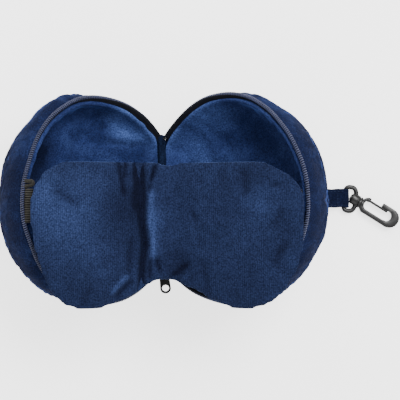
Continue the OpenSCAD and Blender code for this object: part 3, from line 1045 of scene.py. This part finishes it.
def elastic_strap():
    """Ribbed elastic that hangs in a curve, and its spare end."""
    lo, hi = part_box("mask_strap")
    lo, hi = np.array(lo) * 1000, np.array(hi) * 1000
    end = 99.5
    low, high = lo[2], hi[2] - 4
    wide = hi[1] - lo[1]
    mid_y = (lo[1] + hi[1]) / 2
    xs = np.linspace(-end, end, 150)
    zs = low + (high - low) * (xs / end) ** 2
    # each end turns back on itself into a loop, as it is sewn under the mask
    arc = np.radians(np.linspace(10, 175, 16))
    tip_x, tip_z = end, high + 2.0
    right = stacked(tip_x + 2.3 * np.sin(arc), tip_z - 2.0 * np.cos(arc))
    back = np.array([(96.5, high + 4.2), (93.0, high + 4.0)])
    tail = np.vstack([right, back])
    head = tail[::-1] * [-1, 1]
    line = np.vstack([head, stacked(xs, zs), tail])
    run = run_of(line)
    at = np.linspace(0, run[-1], 330)
    line = np.stack([np.interp(at, run, line[:, k]) for k in range(2)], -1)
    normal = left_of(units(np.gradient(line, axis=0)))
    across = np.linspace(0, 1, 121)
    rib = 0.34 * np.cos(2 * math.pi * (mid_y + (across - 0.5) * wide) / RIB - math.pi)
    edge = np.sqrt(np.clip(1 - np.abs(2 * across - 1) ** 24, 0, 1))
    upper = 0.62 * edge + rib * edge
    lower = -0.62 * edge + rib * edge * 0.6
    section = np.concatenate([stacked(across, upper),
                              stacked(across, lower)[::-1][1:-1]])
    shift = 0.3 * waves(at[:, None], 40, 9, 6)
    y = mid_y + (section[:, 0] - 0.5) * wide
    crimp = 0.05 * np.cos(at * 2 * math.pi / 1.6)
    grid = ribbon(line, normal, y, section[None, :, 1] + crimp[:, None], shift)
    obj = sweep("elastic_strap", grid, ELASTIC)
    piece(obj, "mask_strap", ("mask_strap",))
    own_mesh(obj)
    # the spare end, turned back on itself beside the left edge of the mask
    edge_y, x0 = hi[1], -end - 3.4
    turn = np.linspace(0.5 * math.pi, -0.5 * math.pi, 12)
    path = np.vstack([[(x0 + 1.0, edge_y + 5.9)],
                      stacked(x0 + 5.6 + 1.5 * np.cos(turn),
                                edge_y + 4.4 + 1.5 * np.sin(turn)),
                      [(x0 + 2.0, edge_y + 2.2), (x0 - 0.8, edge_y + 1.8)]])
    path = resample(path, 60)
    side_way = left_of(units(np.gradient(path, axis=0)))
    loop = circle(48)
    ridges = 0.9 + 0.28 * np.cos(loop * 8)
    grid = np.zeros((len(path), len(loop), 3))
    thick = 1.45 * np.cos(loop)
    grid[:, :, :2] = path[:, None] + side_way[:, None] * thick[None, :, None]
    grid[:, :, 2] = high + 3.0 + (ridges * np.sin(loop))[None, :] * 1.6
    roll = sweep("elastic_roll", grid, ELASTIC_ROLL)
    piece(roll, "mask_strap")
    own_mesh(roll)


elastic_strap()


# ---- hard pieces, softened
SHARP = math.radians(25)


def soften(node, name, material, width, body, grow=0.0):
    """The CAD shape with the small rounded edges that moulding leaves."""
    obj = linked(name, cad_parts[node].data.copy())
    bm = bmesh.new()
    bm.from_mesh(obj.data)
    bmesh.ops.remove_doubles(bm, verts=bm.verts, dist=1e-6)
    bmesh.ops.dissolve_limit(bm, angle_limit=math.radians(1.5), verts=bm.verts,
                             edges=bm.edges)
    edges = [e for e in bm.edges if len(e.link_faces) == 2
             and e.calc_face_angle(0) > SHARP]
    bmesh.ops.bevel(bm, geom=edges, offset=width / 1000, offset_type="OFFSET",
                    segments=3, profile=0.5, affect="EDGES", clamp_overlap=True)
    bmesh.ops.triangulate(bm, faces=[f for f in bm.faces if len(f.verts) > 4])
    bmesh.ops.recalc_face_normals(bm, faces=bm.faces)
    bm.normal_update()
    for v in bm.verts:
        v.co += v.normal * (grow / 1000)
    bm.to_mesh(obj.data)
    bm.free()
    obj.data.materials.clear()
    obj.data.materials.append(material)
    shade_smooth(obj.data)
    obj.data.set_sharp_from_angle(angle=math.radians(40))
    return piece(obj, body, (node,))


soften("hook_body", "hook_moulding", HOOK, 0.55, "hook_body", grow=0.2)
soften("hook_gate", "gate_moulding", HOOK, 0.3, "hook_gate", grow=0.3)


# Middle of the ring's pivot, the way the ring and the hook point, and how far
# out the swivel sits.
RING_AT = (149.0, 1.4, 3.6)
RING_TURN, HOOK_TURN, SWIVEL = math.radians(-7), math.radians(-32), 9.8


def planted(points, turn, out=0.0):
    """Points of the ring's or the hook's own frame, in the object's frame."""
    c, s = math.cos(turn), math.sin(turn)
    x = RING_AT[0] + out * math.cos(RING_TURN) + points[..., 0] * c - points[..., 1] * s
    y = RING_AT[1] + out * math.sin(RING_TURN) + points[..., 0] * s + points[..., 1] * c
    return stacked(x, y, RING_AT[2] + points[..., 2])


def barrel(stations, wide, high):
    """Turned part along the hook's axis: (place, size) stations, slightly oval."""
    turn = circle(48)
    rows = [stacked(np.full(48, at), wide * size * np.cos(turn),
                      high * size * np.sin(turn)) for at, size in stations]
    return planted(np.array(rows), HOOK_TURN, SWIVEL)


def ring_moulding():
    """Oval ring with a thinner bar inside the loop, and the swivel's barrel."""
    a = circle(120)
    power = 2 / 2.7
    x = 4.9 + 5.4 * np.sign(np.cos(a)) * np.abs(np.cos(a)) ** power
    y = 9.85 * np.sign(np.sin(a)) * np.abs(np.sin(a)) ** power
    path = stacked(x, y)
    flow = units(np.roll(path, -1, 0) - np.roll(path, 1, 0))
    outward = -left_of(flow)
    inside = np.clip((2.6 - x) / 2.4, 0, 1) * np.clip((9.4 - np.abs(y)) / 1.6, 0, 1)
    size = 1.9 - 0.45 * inside
    turn = circle(20)
    grid = np.zeros((120, 20, 3))
    grid[:, :, :2] = path[:, None] + outward[:, None] * (size[:, None]
                                                         * np.cos(turn))[:, :, None]
    grid[:, :, 2] = size[:, None] * np.sin(turn) * 0.92
    ring = sweep("ring_moulding", planted(grid, RING_TURN), HOOK, closed=True)
    piece(ring, "hook_ring", ("hook_ring",))
    eye = sweep("swivel_barrel", barrel(
        ((-3.9, 0.5), (-3.85, 0.82), (-3.6, 0.94), (-3.1, 1.0), (-0.4, 1.02),
         (2.6, 1.0), (2.95, 0.96), (3.15, 0.86), (3.2, 0.5)), 4.7, 3.45), HOOK)
    piece(eye, "hook_ring")
    collar = sweep("hook_collar", barrel(
        ((3.45, 0.5), (3.5, 0.84), (3.75, 0.97), (4.1, 1.0), (4.9, 0.98), (5.25, 0.9),
         (5.35, 0.76), (6.2, 0.72), (7.0, 0.8), (7.4, 0.5)), 4.8, 3.4), HOOK)
    piece(collar, "hook_body")


ring_moulding()
soften("zip_slider", "slider_casting", METAL, 0.28, "zip_slider")
pull = soften("zip_pull", "pull_casting", METAL, 0.22, "zip_pull",
              grow=0.22)
# the tab hangs a little askew, as far as the play on its pivot lets it
pivot = metres([0.0, -59.93, 36.3])
askew = Matrix.Translation(pivot) @ Matrix.Rotation(math.radians(6.5), 4, "Z") \
    @ Matrix.Translation(-Vector(pivot)) @ Matrix.Translation((0.0006, 0, 0))
pull.data.transform(askew)
soften("zip_bottom_stop", "bottom_stop", METAL, 0.3, "spine")
soften("zip_top_stop", "top_stop", METAL, 0.3, "spine")


# ---- hang loop
def hang_loop():
    """Folded strap, sewn into the right half and passed round the ring's bar."""
    lo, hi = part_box("hang_loop")
    mid_y = (lo.y + hi.y) * 500
    wide = (hi.y - lo.y) * 1000
    bar_z = 3.6
    # out along the top, round the ring's bar, back underneath
    end_x = hi.x * 1000 - SPINE_X - 3.4
    top = [(111.5, 31.0), (117.5, 24.6), (124, 17.6), (131, 11.3), (138.0, 7.1),
           (144, 6.35), (end_x, 6.3)]
    arc = [(end_x + 2.7 * math.sin(a), bar_z + 2.7 * math.cos(a))
           for a in np.radians(np.linspace(18, 162, 9))]
    under = [(end_x, 0.9), (144, 0.9), (138.6, 1.0), (134, 3.4), (128.5, 8.4),
             (121.2, 16.2), (110.2, 28.2)]
    line = resample(np.array(top + arc + under), 150)
    normal = left_of(units(np.gradient(line, axis=0)))
    across = np.linspace(-1, 1, 41)
    edge = np.sqrt(np.clip(1 - np.abs(across) ** 14, 0, 1))
    hem = (bump(np.abs(across) - 0.86, 0.09) * 0.28
           - bump(np.abs(across) - 0.74, 0.05) * 0.22)
    at = np.linspace(0, 1, len(line))
    y = mid_y + across * wide / 2 * 0.985
    crown = 0.18 * (1 - across ** 2)
    upper = (0.62 + hem + crown) * edge
    lower = -0.62 * edge
    sect_y = np.concatenate([y, y[::-1][1:-1]])
    sect_h = np.concatenate([upper, lower[::-1][1:-1]])
    soft = 0.12 * waves(stacked(at * 130, 0 * at), 9, 77, 8)
    shift = 0.15 * waves(at[:, None] * 130, 22, 78, 6)
    grid = ribbon(line, normal, sect_y, sect_h[None] + soft[:, None], shift)
    grid[:, :, 2] = np.maximum(grid[:, :, 2], 0.12)
    obj = sweep("hang_loop_strap", grid, LOOP)
    piece(obj, "right_half", ("hang_loop",))
    rows = []
    for k in (-0.74, 0.74):
        pts = line[6:66]
        rows.append(stacked(pts[:, 0] + normal[6:66, 0] * 0.6,
                              mid_y + k * wide / 2 + 0 * pts[:, 0],
                              pts[:, 1] + normal[6:66, 1] * 0.6))
    cross_line = line[58] + normal[58] * 0.75
    ys = np.linspace(-0.7, 0.7, 12) * wide / 2 + mid_y
    rows.append(stacked(0 * ys + cross_line[0], ys, 0 * ys + cross_line[1]))
    stitches("loop_stitches", rows, "right_half", 2.0, 1.0, 0.22)


hang_loop()
